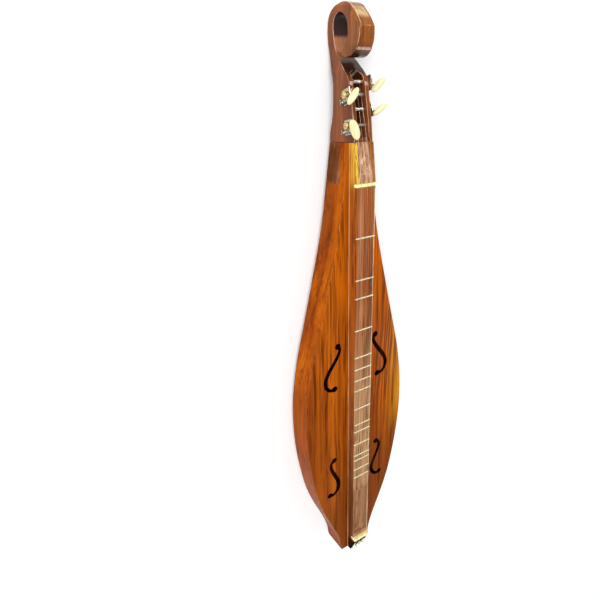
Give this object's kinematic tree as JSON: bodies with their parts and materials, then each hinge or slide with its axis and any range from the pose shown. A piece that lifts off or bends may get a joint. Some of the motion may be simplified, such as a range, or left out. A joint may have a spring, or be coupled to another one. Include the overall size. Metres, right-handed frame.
{
  "type": "mountain dulcimer",
  "caption": "Slender teardrop-bodied fretted zither with a raised full-length fretboard, S-shaped sound holes, an open scroll head and geared tuning machines.",
  "frame": {"origin": "under the middle of the instrument's length and width, level with the lowest point of the scroll", "axes": "+Y along the strings from the tail to the head, +Z out of the soundboard, +X to the right when looking down on the soundboard with the head up"},
  "size_m": [0.214, 0.9809, 0.0868],
  "materials": {
    "back": "gloss lacquer",
    "back_brace_lower": "bare sawn wood",
    "back_brace_upper": "bare sawn wood",
    "bridge": null,
    "fret_01": "polished nickel silver",
    "fret_02": "polished nickel silver",
    "fret_03": "polished nickel silver",
    "fret_04": "polished nickel silver",
    "fret_05": "polished nickel silver",
    "fret_06": "polished nickel silver",
    "fret_07": "polished nickel silver",
    "fret_08": "polished nickel silver",
    "fret_09": "polished nickel silver",
    "fret_10": "polished nickel silver",
    "fret_11": "polished nickel silver",
    "fret_12": "polished nickel silver",
    "fret_13": "polished nickel silver",
    "fret_14": "polished nickel silver",
    "fret_15": "polished nickel silver",
    "fret_16": "polished nickel silver",
    "fretboard": "gloss lacquer",
    "head": "gloss lacquer",
    "head_block": "bare sawn wood",
    "hitch_pin_bass": "plated steel",
    "hitch_pin_melody_inner": "plated steel",
    "hitch_pin_melody_outer": "plated steel",
    "hitch_pin_middle": "plated steel",
    "lining_back_left": "bare sawn wood",
    "lining_back_right": "bare sawn wood",
    "lining_top_left": "bare sawn wood",
    "lining_top_right": "bare sawn wood",
    "nut": null,
    "side_left": "gloss lacquer",
    "side_right": "gloss lacquer",
    "soundboard": "gloss lacquer",
    "soundboard_brace_lower": "bare sawn wood",
    "soundboard_brace_upper": "bare sawn wood",
    "string_bass": "bright steel wire",
    "string_melody_inner": "bright steel wire",
    "string_melody_outer": "bright steel wire",
    "string_middle": "bright steel wire",
    "tail_block": "bare sawn wood",
    "tuner_button_bass": "ivory-coloured plastic",
    "tuner_button_melody_inner": "ivory-coloured plastic",
    "tuner_button_melody_outer": "ivory-coloured plastic",
    "tuner_button_middle": "ivory-coloured plastic",
    "tuner_plate_bass": "nickel plate",
    "tuner_plate_melody_inner": "nickel plate",
    "tuner_plate_melody_outer": "nickel plate",
    "tuner_plate_middle": "nickel plate",
    "tuner_post_bass": "polished brass",
    "tuner_post_melody_inner": "polished brass",
    "tuner_post_melody_outer": "polished brass",
    "tuner_post_middle": "polished brass",
    "tuner_worm_bass": "nickel plate",
    "tuner_worm_melody_inner": "nickel plate",
    "tuner_worm_melody_outer": "nickel plate",
    "tuner_worm_middle": "nickel plate"
  },
  "bodies": {
    "root": {"back": "back", "back_brace_lower": "back_brace_lower", "back_brace_upper": "back_brace_upper", "bridge": "bridge", "fret_01": "fret_01", "fret_02": "fret_02", "fret_03": "fret_03", "fret_04": "fret_04", "fret_05": "fret_05", "fret_06": "fret_06", "fret_07": "fret_07", "fret_08": "fret_08", "fret_09": "fret_09", "fret_10": "fret_10", "fret_11": "fret_11", "fret_12": "fret_12", "fret_13": "fret_13", "fret_14": "fret_14", "fret_15": "fret_15", "fret_16": "fret_16", "fretboard": "fretboard", "head": "head", "head_block": "head_block", "hitch_pin_bass": "hitch_pin_bass", "hitch_pin_melody_inner": "hitch_pin_melody_inner", "hitch_pin_melody_outer": "hitch_pin_melody_outer", "hitch_pin_middle": "hitch_pin_middle", "lining_back_left": "lining_back_left", "lining_back_right": "lining_back_right", "lining_top_left": "lining_top_left", "lining_top_right": "lining_top_right", "nut": "nut", "side_left": "side_left", "side_right": "side_right", "soundboard": "soundboard", "soundboard_brace_lower": "soundboard_brace_lower", "soundboard_brace_upper": "soundboard_brace_upper", "string_bass": "string_bass", "string_melody_inner": "string_melody_inner", "string_melody_outer": "string_melody_outer", "string_middle": "string_middle", "tail_block": "tail_block", "tuner_plate_bass": "tuner_plate_bass", "tuner_plate_melody_inner": "tuner_plate_melody_inner", "tuner_plate_melody_outer": "tuner_plate_melody_outer", "tuner_plate_middle": "tuner_plate_middle"},
    "knob_bass": {"tuner_worm_bass": "tuner_worm_bass", "tuner_button_bass": "tuner_button_bass"},
    "post_bass": {"tuner_post_bass": "tuner_post_bass"},
    "knob_melody_outer": {"tuner_worm_melody_outer": "tuner_worm_melody_outer", "tuner_button_melody_outer": "tuner_button_melody_outer"},
    "post_melody_outer": {"tuner_post_melody_outer": "tuner_post_melody_outer"},
    "knob_middle": {"tuner_worm_middle": "tuner_worm_middle", "tuner_button_middle": "tuner_button_middle"},
    "post_middle": {"tuner_post_middle": "tuner_post_middle"},
    "knob_melody_inner": {"tuner_worm_melody_inner": "tuner_worm_melody_inner", "tuner_button_melody_inner": "tuner_button_melody_inner"},
    "post_melody_inner": {"tuner_post_melody_inner": "tuner_post_melody_inner"}
  },
  "joints": [
    {"name": "knob_bass_turn", "type": "hinge", "parent": "root", "child": "knob_bass", "pos_m": [-0.0232, 0.32735, 0.05998], "axis": [0, 0.1392, 0.9903], "continuous": true},
    {"name": "post_bass_turn", "type": "hinge", "parent": "root", "child": "post_bass", "pos_m": [-0.018, 0.335, 0.0589], "axis": [1, 0, 0], "continuous": true},
    {"name": "knob_melody_outer_turn", "type": "hinge", "parent": "root", "child": "knob_melody_outer", "pos_m": [0.0232, 0.34874, 0.05894], "axis": [0, 0.342, 0.9397], "continuous": true},
    {"name": "post_melody_outer_turn", "type": "hinge", "parent": "root", "child": "post_melody_outer", "pos_m": [0.018, 0.356, 0.0563], "axis": [1, 0, 0], "continuous": true},
    {"name": "knob_middle_turn", "type": "hinge", "parent": "root", "child": "knob_middle", "pos_m": [-0.0232, 0.36757, 0.05643], "axis": [0, 0.2756, 0.9613], "continuous": true},
    {"name": "post_middle_turn", "type": "hinge", "parent": "root", "child": "post_middle", "pos_m": [-0.018, 0.375, 0.0543], "axis": [1, 0, 0], "continuous": true},
    {"name": "knob_melody_inner_turn", "type": "hinge", "parent": "root", "child": "knob_melody_inner", "pos_m": [0.0232, 0.38387, 0.05331], "axis": [0, 0.1564, 0.9877], "continuous": true},
    {"name": "post_melody_inner_turn", "type": "hinge", "parent": "root", "child": "post_melody_inner", "pos_m": [0.018, 0.3915, 0.0521], "axis": [1, 0, 0], "continuous": true}
  ],
  "couplings": [
    {"joint": "post_bass_turn", "follows": "knob_bass_turn", "ratio": 0.071429},
    {"joint": "post_melody_outer_turn", "follows": "knob_melody_outer_turn", "ratio": 0.071429},
    {"joint": "post_middle_turn", "follows": "knob_middle_turn", "ratio": 0.071429},
    {"joint": "post_melody_inner_turn", "follows": "knob_melody_inner_turn", "ratio": 0.071429}
  ]
}
